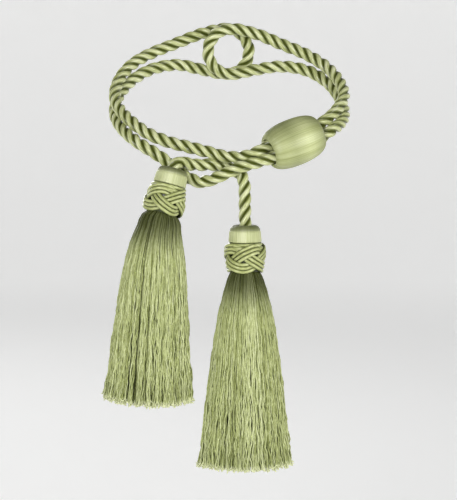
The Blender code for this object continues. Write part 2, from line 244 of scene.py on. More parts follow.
class Nodes:
    """A short way to write a material's nodes."""

    def __init__(self, name):
        self.material = bpy.data.materials.new(name)
        self.material.use_nodes = True
        self.tree = self.material.node_tree
        self.shader = self.tree.nodes["Principled BSDF"]

    def add(self, kind, inputs=None, **settings):
        node = self.tree.nodes.new("ShaderNode" + kind)
        for key, value in settings.items():
            setattr(node, key, value)
        for key, value in (inputs or {}).items():
            self.feed(node.inputs[key], value)
        return node

    def feed(self, socket, value):
        if isinstance(value, bpy.types.NodeSocket):
            self.tree.links.new(value, socket)
        else:
            socket.default_value = value

    def number(self, label):
        """A number that the mesh carries at each point."""
        return self.add("Attribute", attribute_name=label).outputs["Fac"]

    def maths(self, operation, *values):
        node = self.add("Math", operation=operation)
        for socket, value in zip(node.inputs, values):
            self.feed(socket, value)
        return node.outputs[0]

    def place(self, x, y=0.0, z=0.0):
        return self.add("CombineXYZ", {"X": x, "Y": y, "Z": z}).outputs[0]

    def noise(self, vector, scale=1.0, detail=2.0):
        node = self.add("TexNoise", {"Vector": vector, "Scale": scale, "Detail": detail})
        return node.outputs["Fac"]

    def ramp(self, factor, stops):
        """Colours in sRGB at places from 0 to 1."""
        node = self.add("ValToRGB", {"Fac": factor})
        ends = node.color_ramp.elements
        while len(ends) < len(stops):
            ends.new(0.5)
        for end, (place, colour) in zip(ends, stops):
            end.position = place
            end.color = linear(colour)
        return node.outputs["Color"]

    def blend(self, factor, first, second):
        node = self.add("Mix", data_type="RGBA")
        for socket, value in zip((node.inputs[0], node.inputs[6], node.inputs[7]),
                                 (factor, first, second)):
            self.feed(socket, value)
        return node.outputs[2]

    def finish(self, colour, relief, bump, settings):
        """Feeds the shader its colour, a slight relief and its own settings."""
        self.feed(self.shader.inputs["Base Color"], colour)
        for key, value in settings.items():
            self.shader.inputs[key].default_value = value
        raised = self.add("Bump", {"Height": relief, "Strength": bump, "Distance": FILAMENT_HEIGHT})
        self.feed(self.shader.inputs["Normal"], raised.outputs[0])
        return self.material


def linear(colour):
    """An sRGB colour, 0 to 255, as Blender's linear one, opaque."""
    shares = [c / 255 for c in colour]
    return (*(c / 12.92 if c <= 0.04045 else ((c + 0.055) / 1.055) ** 2.4 for c in shares), 1)


FILAMENT_HEIGHT = 0.2 * MM


def satin_yarn(name, shades, contrast, roughness, streaks_along, streaks_across, bump):
    """Dyed satin yarn: fine filaments run along each yarn, and painted shade darkens the grooves.

    The shades are the yarn's deep, middle and light one and its painted shade. The mesh carries
    painted shade (0 none, 1 full), run (metres along) and yarn (a number that goes up by one from
    yarn to yarn). The streaks of the filaments are counted to a metre and to a yarn.
    """
    deep, middle, light, painted_shade_colour = shades
    nodes = Nodes(name)
    run, yarn, painted_shade = nodes.number("run"), nodes.number("yarn"), nodes.number("painted_shade")
    filaments = nodes.noise(nodes.place(
        nodes.maths("MULTIPLY", yarn, streaks_across), nodes.maths("MULTIPLY", run, streaks_along),
    ), detail=3)
    # The same noise again, wider and longer, from another layer of it
    blotches = nodes.noise(nodes.place(
        nodes.maths("MULTIPLY", yarn, streaks_across * 0.15),
        nodes.maths("MULTIPLY", run, streaks_along * 0.4), 3.7,
    ))
    tone = nodes.maths("MULTIPLY_ADD", nodes.maths("SUBTRACT", filaments, 0.5), contrast, blotches)
    colour = nodes.ramp(tone, [(0.22, deep), (0.5, middle), (0.78, light)])
    # Painted shade blended over the yarn's colour
    return nodes.finish(nodes.blend(painted_shade, colour, linear(painted_shade_colour)), filaments, bump, {
        "Roughness": roughness, "Sheen Weight": 0.06, "Sheen Roughness": 0.35,
        "Specular IOR Level": 0.6,
    })


# Deep, middle and light yarn, and the colour of its painted shade
ROPE_SHADES = ((172, 179, 110), (218, 224, 162), (247, 250, 208), (92, 100, 34))
rope_yarn = satin_yarn(
    "rope_yarn", ROPE_SHADES, contrast=1.4, roughness=0.28, streaks_along=260.0,
    streaks_across=2.3, bump=0.35,
)

HALF_BEAD = BEAD_LENGTH / 2
ring_route = [
    bead_channel(-JOIN_GAP / 2, True), bead_channel(-HALF_BEAD, True), *RING_FRONT_UPPER,
    *end_loop(-LOOP_SHIFT, LOOP_DEPTHS[0], LOOP_RADIUS), *RING_FRONT_LOWER,
    bead_channel(-HALF_BEAD, False), bead_channel(0, False), bead_channel(HALF_BEAD, False),
    *RING_RIGHT_LOWER, *end_loop(LOOP_SHIFT, LOOP_DEPTHS[1], -LOOP_RADIUS), *RING_RIGHT_UPPER,
    bead_channel(HALF_BEAD, True), bead_channel(JOIN_GAP / 2, True),
]
ring, ring_line = lay_rope("ring", ring_route, rope_yarn)
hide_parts("ring_rope")

# --- The bead --------------------------------------------------------------------------------
# A turned wooden barrel, wide enough inside for both ropes of the ring, covered in satin thread
# that goes lengthwise over the barrel and back through the hole, side by side.

BEAD_RADIUS = 15.9
BEAD_RIM_RADIUS = 10.0
BEAD_HOLE_RADIUS = 9.2
BARREL_FULLNESS = 2.2            # 2 would make the barrel a plain oval
BARREL_STEPS = 44
RIM_HALF_WIDTH, RIM_RISE, RIM_STEPS = 0.45, 0.5, 7
RIM_INSET = 0.4                  # of its foot, in from the bead's end
HOLE_COVER = 8.0                 # how far the thread goes back into the hole
HOLE_STEP, HOLE_POINTS = 1.7, 5
BEAD_THREADS = 150
BEAD_TOP_SHADE = (0.25, 0.30)          # share of the height where painted shade sets in, and how deep
BEAD_UNDER_SHADE = (0.45, 0.26)        # the same for the underside
BEAD_LUSTRE = (                  # millimetres along, and painted shade; least at the painted highlight
    (-19.2, 0.24), (-12.0, 0.20), (-6.0, 0.28), (-1.0, 0.15), (4.0, 0.0), (8.0, 0.04), (12.0, 0.20),
    (19.2, 0.48),
)
POINTS_A_THREAD = 4
THREAD_PROFILE = np.array([0.0, 0.62, 1.0, 0.62])    # height across one thread, groove first
THREAD_GROOVE_SHADE = 0.3              # how deep the painted shade is between two threads
THREAD_WAVES = 4                 # a thread's wander is made of so many waves
MOST_PROUD = 1.5                 # times the usual unevenness


def thread_cover(profile, threads, relief, drift, uneven, seed):
    """Thread laid lengthwise over a turned shape, from one end of its profile to the other.

    The profile is a list of (radius, height). The relief is what a thread's crown rises over the
    hollow beside it where the threads lie widest, the drift how many threads' widths one wanders
    sideways, and the unevenness how much prouder some stand than others. Gives points in metres,
    faces and numbers, painted shade between the threads among them.
    """
    chance = np.random.default_rng(seed)
    rows, columns = len(profile), threads * POINTS_A_THREAD
    radius, height = np.array(profile, float).T
    slope = unit(np.stack([np.gradient(radius), np.gradient(height)], 1))
    # Outwards is away from the axis in the middle of the profile, whichever way it runs
    out_radial, out_height = slope[:, 1], -slope[:, 0]
    if out_radial[rows // 2] < 0:
        out_radial, out_height = -out_radial, -out_height
    travelled = np.append(0, np.cumsum(np.hypot(np.diff(radius), np.diff(height))))
    share = travelled / travelled[-1]
    wander = np.zeros((rows, threads))
    for wave in range(1, THREAD_WAVES + 1):
        phase, size = chance.uniform(0, math.tau, threads), chance.normal(0, drift / wave, threads)
        wander += np.sin(math.pi * wave * share[:, None] + phase) * size
    proud = chance.normal(0, 1, threads).clip(-MOST_PROUD, MOST_PROUD)
    proud = 1 + uneven * np.repeat(proud, POINTS_A_THREAD)
    wander = np.repeat(wander, POINTS_A_THREAD, 1) / threads
    turn = (np.arange(columns) / columns + wander) * math.tau
    widest = radius / radius.max()
    lift = np.tile(THREAD_PROFILE, threads) * proud * relief * widest[:, None]
    r = radius[:, None] + lift * out_radial[:, None]
    points = np.stack([r * np.cos(turn), r * np.sin(turn),
                       np.broadcast_to(height[:, None], r.shape) + lift * out_height[:, None]], -1)
    # Painted shade between the threads, deepest at the low point of each thread's profile
    numbers = {
        "painted_shade": np.tile(1 - THREAD_PROFILE, threads * rows) * THREAD_GROOVE_SHADE,
        "run": np.repeat(travelled * MM, columns),
        "yarn": np.tile(np.arange(columns) / POINTS_A_THREAD, rows),
    }
    return points.reshape(-1, 3) * MM, tube_faces(rows, columns, closed_ends=False), numbers


def bead_outline():
    """From inside the left end of the hole, round the rim, over the barrel and back inside."""
    left_end = [
        (BEAD_HOLE_RADIUS - 0.1 + 0.02 * i, -HALF_BEAD + HOLE_COVER - HOLE_STEP * i)
        for i in range(HOLE_POINTS)
    ]
    rim_middle = (BEAD_HOLE_RADIUS + BEAD_RIM_RADIUS) / 2
    for i in range(1, RIM_STEPS):
        angle = math.pi * i / RIM_STEPS
        left_end.append((
            rim_middle - RIM_HALF_WIDTH * math.cos(angle),
            -HALF_BEAD + RIM_INSET - RIM_RISE * math.sin(angle),
        ))
    barrel = []
    for i in range(1, BARREL_STEPS):
        share = -math.cos(math.pi * i / BARREL_STEPS)
        swell = (BEAD_RADIUS - BEAD_RIM_RADIUS) * math.sqrt(1 - abs(share) ** BARREL_FULLNESS)
        barrel.append((BEAD_RIM_RADIUS + swell, HALF_BEAD * share))
    return left_end + barrel + [(radius, -height) for radius, height in reversed(left_end)]


# Deep, middle and light thread, and the colour of its painted shade
BEAD_SHADES = ((184, 192, 126), (206, 213, 151), (226, 232, 176), (80, 86, 28))
bead_thread = satin_yarn(
    "bead_thread", BEAD_SHADES, contrast=0.5, roughness=0.36, streaks_along=45.0,
    streaks_across=1.6, bump=0.12,
)
points, faces, numbers = thread_cover(
    bead_outline(), BEAD_THREADS, relief=0.11, drift=0.25, uneven=0.08, seed=7)
bead_pose = (Matrix.Translation(BEAD_MIDDLE * MM)
             @ BEAD_AXIS.to_track_quat("Z", "Y").to_matrix().to_4x4())
points = points @ np.array(bead_pose.to_3x3()).T + np.array(bead_pose.translation)
# Painted shade along the top and the underside, and along the bead except in a soft band
# across the threads, which is left as a painted highlight
from_middle = points - np.array(BEAD_MIDDLE) * MM
along_bead = from_middle @ np.array(BEAD_AXIS)
from_axis = from_middle - np.outer(along_bead, BEAD_AXIS)
height_share = from_axis[:, 2] / (BEAD_RADIUS * MM)
for towards, (start, depth) in ((1, BEAD_TOP_SHADE), (-1, BEAD_UNDER_SHADE)):
    numbers["painted_shade"] += depth * ((towards * height_share - start) / (1 - start)).clip(0, 1)
numbers["painted_shade"] += np.interp(along_bead / MM, *zip(*BEAD_LUSTRE))
bead = make_piece("bead_cover", bead_thread, points, faces, numbers)
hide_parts("bead")

# --- The tassel rope -------------------------------------------------------------------------
# A shorter piece of the same rope. It rises from the left cap, lies over the ring's lower rope,
# passes behind the crossing and hangs down to the right cap. Its ends are glued into the caps.

TASSEL_ROPE = (
    (-36.0, -107.2, -75.0), (-33.4, -105.4, -73.5), (-29.8, -102.8, -74.1), (-25.5, -99.8, -75.4),
    (-19.5, -96.5, -75.9), (-13.0, -94.8, -75.8), (-8.0, -93.8, -76.3), (-3.0, -93.3, -77.6),
    (2.0, -93.2, -79.1), (6.6, -93.9, -81.1), (9.8, -95.4, -84.9), (11.0, -97.8, -90.6),
    (11.2, -100.7, -98.5), (11.2, -103.2, -107.5), (11.2, -104.3, -112.5),
)
SOCKET_FLOOR = -5.6

# Each tassel: place of the cap's top, lean to the right and to the back in degrees, turn of the
# knot, how much shorter the skirt is cut at its left and right side, and the skirt's rows: drop,
# shift to the right, shift to the back, half width, half depth
TASSELS = {
    "left": {
        "top": (-37.0, -108.0, -77.6), "lean": 15.0, "nod": 8.0, "knot_turn": 80.0,
        "shorter": (4.6, 1.2),
        "rows": (
            (0.0, 0.0, 0.0, 9.2, 9.2), (2.6, -0.6, 0.0, 12.4, 11.2), (5.0, -1.2, 0.0, 13.8, 12.0),
            (14.7, -3.4, 0.0, 16.4, 13.4), (29.0, -4.8, 0.0, 19.6, 14.8),
            (47.0, -5.9, -0.5, 22.2, 16.0), (78.0, -7.6, -1.6, 25.2, 17.4),
            (108.0, -8.9, -2.7, 27.8, 18.7), (130.1, -9.7, -3.5, 29.8, 19.4),
        ),
    },
    "right": {
        "top": (11.2, -104.5, -116.3), "lean": 0.0, "nod": 0.0, "knot_turn": 40.0,
        "shorter": (1.6, 1.6),
        "rows": (
            (0.0, 0.0, 0.0, 9.2, 9.2), (2.6, 0.1, 0.0, 10.8, 10.4), (5.0, 0.1, 0.0, 11.9, 11.2),
            (10.6, 0.2, 0.0, 13.6, 12.2), (16.0, 0.2, -0.3, 15.1, 13.0),
            (32.6, 0.2, -0.8, 18.9, 14.8), (65.7, 0.0, -2.3, 23.9, 16.8),
            (99.4, -0.2, -3.9, 27.8, 18.2), (134.6, -0.4, -5.5, 31.7, 19.4),
        ),
    },
}


def head_frame(tassel):
    """The place of a tassel's head in millimetres: its cap's top, with its axis down -Z."""
    lean = Euler((-math.radians(tassel["nod"]), math.radians(tassel["lean"]), 0)).to_matrix()
    return Matrix.Translation(Vector(tassel["top"])) @ lean.to_4x4()


def on_head(points, head):
    """Points in metres, made upright at the origin, moved to the head."""
    return points @ np.array(head.to_3x3()).T + np.array(head.translation) * MM


heads = {side: head_frame(tassel) for side, tassel in TASSELS.items()}
floor_point, mouth_point = Vector((0, 0, SOCKET_FLOOR)), Vector((0, 0, 0))
tassel_route = [
    heads["left"] @ floor_point, heads["left"] @ mouth_point, *TASSEL_ROPE,
    heads["right"] @ mouth_point, heads["right"] @ floor_point,
]
tassel_rope, tassel_line = lay_rope("rope_between_tassels", tassel_route, rope_yarn)
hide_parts("tassel_rope")

# --- The caps --------------------------------------------------------------------------------
# Each tassel's head starts with a small turned wooden cup, covered in the same satin thread. Its
# rounded top carries painted shade, deepest at the socket's lip; the straight side is left light.

CAP_RADIUS = 10.7
CAP_HEIGHT = 11.5
CAP_STEPS = 8
LIP_RADIUS, LIP_HEIGHT = 6.2, 0.05       # of the socket's lip
DOME_WIDTH = CAP_RADIUS - 6.6            # from the lip to the foot of the rounded top
DOME_DROP = 3.6
SIDE_RADIUS, SIDE_START = CAP_RADIUS + 0.05, -4.7
SIDE_DROP = 5.9
SIDE_FLARE = 0.4                         # the side is that much wider at its foot
CAP_THREADS = 100
DOME_FOOT = 4.2                          # below the cap's top
DOME_SHADE = 0.85                         # how deep the painted shade on the rounded top is at the lip,
DOME_SHADE_LESS = 0.25                    # the share it loses to its foot,
DOME_SHADE_END = 0.8                      # and over what height it ends there


def cap_outline():
    """From down in the socket, over its lip and the rounded top, and down the straight side."""
    outline = [
        (4.6, -5.0), (4.65, -3.4), (4.75, -1.8), (5.05, -0.8), (5.6, -0.15),
        (LIP_RADIUS, LIP_HEIGHT),
    ]
    for i in range(1, CAP_STEPS + 1):
        angle = math.pi / 2 * i / CAP_STEPS
        outline.append((
            LIP_RADIUS + DOME_WIDTH * math.sin(angle),
            LIP_HEIGHT - DOME_DROP * (1 - math.cos(angle)),
        ))
    outline += [(CAP_RADIUS - 0.5, -3.8), (CAP_RADIUS - 0.2, -4.2), (SIDE_RADIUS, SIDE_START)]
    for i in range(1, CAP_STEPS + 1):
        outline.append((
            SIDE_RADIUS + SIDE_FLARE * i / CAP_STEPS, SIDE_START - SIDE_DROP * i / CAP_STEPS,
        ))
    return outline + [(11.1, -11.0), (10.8, -11.35), (9.4, -11.45), (7.9, -11.4)]


# Deep, middle and light thread, and the colour of its painted shade
CAP_SHADES = ((172, 178, 118), (206, 212, 154), (230, 234, 186), (62, 68, 14))
cap_thread = satin_yarn(
    "cap_thread", CAP_SHADES, contrast=0.5, roughness=0.44, streaks_along=45.0,
    streaks_across=0.6, bump=0.12,
)
for number, (side, head) in enumerate(heads.items()):
    points, faces, numbers = thread_cover(
        cap_outline(), CAP_THREADS, relief=0.06, drift=0.3, uneven=0.2, seed=11 + number)
    height = np.repeat([h for _, h in cap_outline()], CAP_THREADS * POINTS_A_THREAD)
    # Painted shade on the rounded top, deepest at the socket's lip
    dome_shade = ((height + DOME_FOOT) / DOME_SHADE_END).clip(0, 1)
    dome_shade *= 1 + height / DOME_FOOT * DOME_SHADE_LESS
    numbers["painted_shade"] = np.maximum(numbers["painted_shade"], DOME_SHADE * dome_shade)
    cap = make_piece(f"cap_cover_{side}", cap_thread, on_head(points, head), faces, numbers)
    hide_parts(f"cap_{side}")

# --- The knots -------------------------------------------------------------------------------
# Under each cap a Turk's head knot hides the neck of the tassel. Three satin cords go side by side
# three times round the neck, over and under themselves, and make four scallops at each edge.

KNOT_HEIGHT = 20.5
KNOT_TOP = -(CAP_HEIGHT + 0.3)           # close under the cap's foot
KNOT_MIDDLE = KNOT_TOP - KNOT_HEIGHT / 2
KNOT_CORE_RADIUS = 11.0
KNOT_END_RADIUS = 9.5
LEADS = 3                        # times round the neck
BIGHTS = 4                       # scallops at each edge
CORDS = 3                        # side by side
CORD_RADIUS = 1.26
CORD_SPACING = 2.5
CORD_LIFT = 0.75                 # of a cord's middle over the padded neck, in cord radii
WEAVE = 1.2                      # rise and fall of the cords as they go over and under
WEAVE_LIFT = 0.15                # a share of it by which all the cords lie further out
CORD_STEPS = 460
NECK_CORDS = (9.15, 6.7)         # heights from the knot's middle
NECK_CORD_LIFT = 0.45            # the plain turns lie deeper
CORD_SIDES = 12
CORD_CROWN = 0.40                # how far down its sides a cord is free of painted shade
PLY_RELIEF = 0.05
PLY_SINK = 0.4                   # a share of it by which the cord is thinner
PLY_LAY = 3.4                    # length in which a cord's two plies go once round
CORD_YARNS = 5                   # seen side by side round one cord
CORD_YARNS_APART = 9             # from the yarn numbers of one cord to those of the next
LINING_SIDES = 48
LINING_ROWS = 13
LINING_DEPTH = 0.35              # under the padded neck's surface
LINING_RISE = 0.33               # above the knot, up to the cap's foot
LINING_HOLE = 7.9                # its inner radius


def knot_core(height):
    """Radius of the padded neck under the cords, at a height from the knot's middle."""
    share = np.abs(height) / (KNOT_HEIGHT / 2)
    return KNOT_END_RADIUS + (KNOT_CORE_RADIUS - KNOT_END_RADIUS) * (1 - share.clip(0, 1) ** 3)


def knot_cord_line(offset, turn):
    """The closed line of one of the side by side cords, at its offset from the middle one."""
    angle = np.linspace(0, math.tau * LEADS, CORD_STEPS, endpoint=False)
    phase = angle * BIGHTS / LEADS
    swing = KNOT_HEIGHT / 2 - CORD_SPACING * (CORDS - 1) / 2 - CORD_RADIUS
    height = swing * np.cos(phase)
    slope = -swing * np.sin(phase) * BIGHTS / LEADS / KNOT_CORE_RADIUS
    tilt = np.hypot(1, slope)
    height = height + offset / tilt
    angle = angle - offset * slope / tilt / KNOT_CORE_RADIUS
    radius = knot_core(height) + CORD_LIFT * CORD_RADIUS + WEAVE * (np.sin(2 * phase) + WEAVE_LIFT)
    angle = -angle + math.radians(turn)
    return np.stack([radius * np.cos(angle), radius * np.sin(angle), KNOT_MIDDLE + height], -1)


def neck_cord_line(height):
    """One plain turn round the neck, seen only between the scallops."""
    angle = np.linspace(0, math.tau, CORD_STEPS // LEADS, endpoint=False)
    radius = knot_core(np.array(height)) + NECK_CORD_LIFT * CORD_RADIUS
    return np.stack([
        radius * np.cos(angle), -radius * np.sin(angle), np.full_like(angle, KNOT_MIDDLE + height),
    ], -1)


def closed_cord(line, number):
    """A two-ply cord along a closed line, as points, faces and numbers."""
    count = len(line)
    along = unit(np.roll(line, -1, 0) - np.roll(line, 1, 0))
    outward = line * (1, 1, 0)
    outward = unit(outward - along * (outward * along).sum(1, keepdims=True))
    lateral = np.cross(along, outward)
    steps = np.linalg.norm(np.roll(line, -1, 0) - line, axis=1)
    travelled = np.append(0, np.cumsum(steps[:-1]))
    plies = round(steps.sum() / PLY_LAY)
    turn = np.arange(CORD_SIDES) / CORD_SIDES * math.tau
    ply_turn = math.tau * plies * travelled[:, None] / steps.sum()
    radius = CORD_RADIUS * (1 + PLY_RELIEF * (np.cos(2 * turn - ply_turn) - PLY_SINK))
    ring = (outward[:, None] * (np.cos(turn) * radius)[..., None]
            + lateral[:, None] * (np.sin(turn) * radius)[..., None])
    # The ring of points after the last one is the first again
    faces = np.array(tube_faces(count + 1, CORD_SIDES, closed_ends=False)) % (count * CORD_SIDES)
    # Painted shade down each cord's sides
    numbers = {
        "painted_shade": np.tile(groove_shade(turn, CORD_CROWN), count),
        "run": np.repeat(travelled * MM, CORD_SIDES),
        "yarn": np.tile(turn / math.tau * CORD_YARNS + CORD_YARNS_APART * number, count),
    }
    return (line[:, None] + ring).reshape(-1, 3), faces.tolist(), numbers


def knot_lining():
    """The padded neck seen between the cords, up to the cap's foot, all in painted shade."""
    heights = np.linspace(KNOT_HEIGHT / 2 + LINING_RISE, -KNOT_HEIGHT / 2, LINING_ROWS)
    rings = [(float(knot_core(height)) - LINING_DEPTH, height) for height in heights]
    rings = [(LINING_HOLE, heights[0]), *rings, (LINING_HOLE, heights[-1])]
    points = np.array([
        [radius * math.cos(turn), radius * math.sin(turn), KNOT_MIDDLE + height]
        for radius, height in rings for turn in np.arange(LINING_SIDES) / LINING_SIDES * math.tau
    ])
    faces = [face[::-1] for face in tube_faces(len(rings), LINING_SIDES, closed_ends=False)]
    # All in painted shade
    numbers = {
        "painted_shade": np.ones(len(points)),
        "run": np.zeros(len(points)),
        "yarn": np.arange(len(points)) % LINING_SIDES,
    }
    return points, faces, numbers


# Deep, middle and light cord, and the colour of its painted shade
KNOT_SHADES = ((148, 156, 88), (184, 191, 124), (216, 222, 160), (52, 60, 4))
knot_cord = satin_yarn(
    "knot_cord", KNOT_SHADES, contrast=0.9, roughness=0.30, streaks_along=300.0,
    streaks_across=1.0, bump=0.25,
)
for side, head in heads.items():
    lines = [
        knot_cord_line((cord - (CORDS - 1) / 2) * CORD_SPACING, TASSELS[side]["knot_turn"])
        for cord in range(CORDS)
    ]
    lines += [neck_cord_line(height) for height in NECK_CORDS]
    cords = [closed_cord(line, cord) for cord, line in enumerate(lines)]
    points, faces, numbers = joined([*cords, knot_lining()])
    knot = make_piece(f"knot_cords_{side}", knot_cord, on_head(points * MM, head), faces, numbers)
    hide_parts(f"knot_{side}")

# --- The skirts ------------------------------------------------------------------------------
# Several hundred fine twisted threads, tied and glued round the neck of the head. They come out
# from under the knot close together, spread as they hang, and are cut off at the foot.

ROOT_HEIGHT = -(CAP_HEIGHT + KNOT_HEIGHT - 1.0)      # up inside the knot's foot

# Threads of the outside and of the inside: how many, points along each, and where they hang, in
# shares of the skirt's area counted from its middle
OUTSIDE = (500, 50, (0.78, 1.0))
INSIDE = (520, 12, (0.02, 0.82))
GOLDEN_ANGLE = 2.399963          # from one thread to the next, so that they spread evenly
THREAD_SIDES = 3
THREAD_RADIUS = 0.56             # at the foot
ROOT_THREAD_RADIUS = 0.38
THICKENS_OVER = 25.0             # down from the root
END_THICKNESS = 0.55             # share of its thickness that a thread has at its cut end
CUT_UNEVENNESS = 0.8             # of the threads' length,
CUT_MOST = 2.0                   # and the most of it
LOCKS = 30                       # threads lean together into so many locks round the skirt
LOCK_SHIFTS = ((3, 1.4), (7, 0.8))       # waves round the skirt that make the locks unequal
GATHER = 0.95                    # how close they lean, where 1 is as close as can be
STRAY = 0.7                      # how far single threads stray from their place at the foot
WAVES = ((34.0, 0.55), (15.0, 0.45), (8.0, 0.24))    # length and size of a thread's waves
MORE_WAVES = (0.8, 1.25)         # a thread has that many times the waves, at least and at most
OUT_OF_STEP = 0.8                # radians between the threads of one lock
GATHER_GROWTH, STRAY_GROWTH, WAVE_GROWTH = 1.3, 1.5, 0.6     # powers of the way down
LEAVES_LEAN_OVER = 8.0           # down from the root, where the head's lean ends
TIP_LENGTH = 4.5
TIP_CURL, TIP_CURL_LEAST = 2.9, 0.3      # sideways, and the least share of it
TIP_CURL_TURN = 1.1              # radians off straight outwards
TIP_CURL_RISE = 0.7              # share of the curl by which the very end turns up
TIP_STEPS = 6                    # one step in so many is in the tip
TIP_HIGHLIGHT_GROWTH = 0.6            # a power of the way down the tip, for the painted highlight there
SHADED_FROM, SHADED_OVER = 0.97, 0.16    # share of the half width, counted inwards
SHADE_AT_ROOT, SHADE_TO_FOOT = 0.45, 0.30        # how deep, and how much more by the foot
SHADE_ABOVE_TIPS = 0.15          # the threads part a little there, and lie in each other's shade
PARTED_AT, PARTED_OVER = 2.0, 0.9        # in tip lengths above the end
MOST_SHADE = 0.9


def thread_tubes(lines, radius, chance):
    """A tube, closed at its foot, round every line. Gives points and faces."""
    count, steps = radius.shape
    along = unit(np.gradient(lines, axis=1))
    lateral = unit(np.cross(along, (1.0, 0.35, 0.1)))
    across = np.cross(along, lateral)
    spin = chance.uniform(0, math.tau, count)[:, None, None]
    corner = np.arange(THREAD_SIDES) / THREAD_SIDES * math.tau + spin
    points = (lines[:, :, None] + radius[..., None, None] * (
        lateral[:, :, None] * np.cos(corner)[..., None]
        + across[:, :, None] * np.sin(corner)[..., None]))
    outward = [0, 3, 2, 1]       # the order of a face's points that turns it outwards here
    one = np.array(tube_faces(steps, THREAD_SIDES, closed_ends=False))[:, outward]
    first = np.arange(count) * steps * THREAD_SIDES
    faces = (one[None] + first[:, None, None]).reshape(-1, 4).tolist()
    faces += (first[:, None] + steps * THREAD_SIDES - np.arange(1, THREAD_SIDES + 1)).tolist()
    return points.reshape(-1, 3), faces


def skirt_threads(tassel, head, count, steps, area, seed):
    """Threads down a skirt's rows, each at its own share of the half width.

    Gives points in metres, faces and numbers.
    """
    chance = np.random.default_rng(seed)
    share = chance.uniform(*area, count) ** 0.5
    turn = (np.arange(count) + chance.uniform(-0.5, 0.5, count)) * GOLDEN_ANGLE % math.tau

    # The cut, and the steps down each thread, closer together in its tip
    rows = smooth_line(tassel["rows"])
    full = rows[-1, 0]
    length = full + chance.normal(0, CUT_UNEVENNESS, count).clip(-CUT_MOST, CUT_MOST)
    at_left, at_right = np.cos(turn).clip(-1, 0) ** 2, np.cos(turn).clip(0, 1) ** 2
    length -= share * (tassel["shorter"][0] * at_left + tassel["shorter"][1] * at_right)
    length = length[:, None]
    tip_steps = steps // TIP_STEPS
    body = np.linspace(0, 1, steps - tip_steps, endpoint=False)[None] * (length - TIP_LENGTH)
    tip = length - TIP_LENGTH * (1 - np.linspace(0, 1, tip_steps))[None]
    down = np.concatenate([body, tip], 1)
    loose = down / full
    near_tip = ((down - length) / TIP_LENGTH + 1).clip(0, 1)

    # The rows go on a little below the foot for the longest threads. The threads hang in them and
    # gather into locks
    slope = (rows[-1] - rows[-2]) / (rows[-1, 0] - rows[-2, 0])
    rows = np.vstack([rows, rows[-1] + 5 * slope])
    shift_x, shift_y, half_width, half_depth = (
        np.interp(down, rows[:, 0], rows[:, column]) for column in range(1, 5)
    )
    (slow, slow_size), (fast, fast_size) = LOCK_SHIFTS
    place = (LOCKS * turn + slow_size * np.sin(slow * turn + seed)
             + fast_size * np.sin(fast * turn))
    lock = np.floor(place / math.tau).astype(int)
    lock -= lock.min()
    turn = turn[:, None] + (GATHER / LOCKS * np.sin(place))[:, None] * loose ** GATHER_GROWTH
    x = shift_x + half_width * share[:, None] * np.cos(turn)
    y = shift_y + half_depth * share[:, None] * np.sin(turn)

    # Each thread strays and waves, the threads of a lock nearly together, and its tip curls
    for axis_values in (x, y):
        axis_values += chance.normal(0, STRAY, count)[:, None] * loose ** STRAY_GROWTH
        for length_of_wave, size in WAVES:
            together = chance.uniform(0, math.tau, lock.max() + 1)[lock]
            phase = (together + chance.normal(0, OUT_OF_STEP, count))[:, None]
            more = chance.uniform(*MORE_WAVES, count)[:, None]
            wave = np.sin(math.tau * down * more / length_of_wave + phase)
            axis_values += size * loose ** WAVE_GROWTH * wave
    curl_turn = turn[:, -1:] + chance.normal(0, TIP_CURL_TURN, count)[:, None]
    curl = TIP_CURL * chance.uniform(TIP_CURL_LEAST, 1.0, count)[:, None]
    x += np.cos(curl_turn) * curl * near_tip ** 2
    y += np.sin(curl_turn) * curl * near_tip ** 2
    lines = np.stack([x, y, -down + TIP_CURL_RISE * curl * near_tip ** 4], -1)

    # They leave the head square to it and soon hang straight down
    start = np.array(head @ Vector((0, 0, ROOT_HEIGHT)))
    level = (down[..., None] / LEAVES_LEAN_OVER).clip(0, 1)
    lines = start + (lines @ np.array(head.to_3x3()).T) * (1 - level) + lines * level
    thicker = (down / THICKENS_OVER).clip(0, 1)
    radius = ROOT_THREAD_RADIUS + (THREAD_RADIUS - ROOT_THREAD_RADIUS) * thicker
    radius[:, -1] *= END_THICKNESS
    points, faces = thread_tubes(lines, radius, chance)

    # Threads further in lie in the shade of the outer ones
    shadow = ((SHADED_FROM - share) / SHADED_OVER).clip(0, 1)[:, None]
    shadow = shadow * (SHADE_AT_ROOT + SHADE_TO_FOOT * loose ** 2)
    parted = np.exp(-(((length - down) / TIP_LENGTH - PARTED_AT) / PARTED_OVER) ** 2)
    shadow = (shadow + SHADE_ABOVE_TIPS * parted).clip(0, MOST_SHADE)
    numbers = {
        "shade": np.repeat(chance.uniform(0, 1, count), steps * THREAD_SIDES),
        "down": np.repeat(down.ravel() * MM, THREAD_SIDES),
        "inside": np.repeat(shadow.ravel(), THREAD_SIDES),
        # Painted highlight, growing towards each thread's end
        "tip": np.repeat((near_tip ** TIP_HIGHLIGHT_GROWTH).ravel(), THREAD_SIDES),
    }
    return points * MM, faces, numbers


